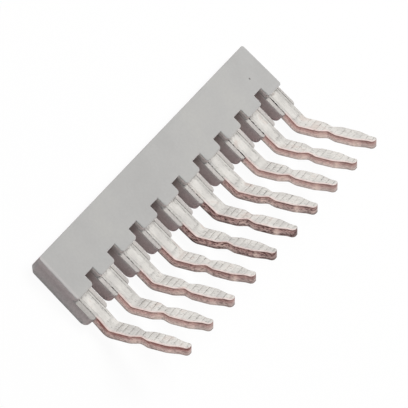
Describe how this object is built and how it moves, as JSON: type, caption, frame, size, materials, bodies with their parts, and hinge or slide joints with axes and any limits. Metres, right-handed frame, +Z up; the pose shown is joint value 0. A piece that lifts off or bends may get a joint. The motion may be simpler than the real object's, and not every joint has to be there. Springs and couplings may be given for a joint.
{
  "type": "terminal jumper",
  "caption": "Comb-type insertion jumper: a notched insulating strip holds a stamped tinned copper comb whose bent, waisted tines bridge neighbouring rail terminals.",
  "frame": {"origin": "middle of the housing strip's flat underside, halfway along the row of poles", "axes": "+X along the row of poles, -Y the way the tines point, +Z up from the underside, the way the blades are bent"},
  "size_m": [0.06, 0.0226, 0.0091],
  "materials": {
    "housing": "fine moulded grain, light grey",
    "comb": "matt tin plate on the rolled faces, bare copper on the sheared edges"
  },
  "bodies": {
    "root": {"insulating_housing": "housing", "contact_comb": "comb"}
  },
  "joints": []
}
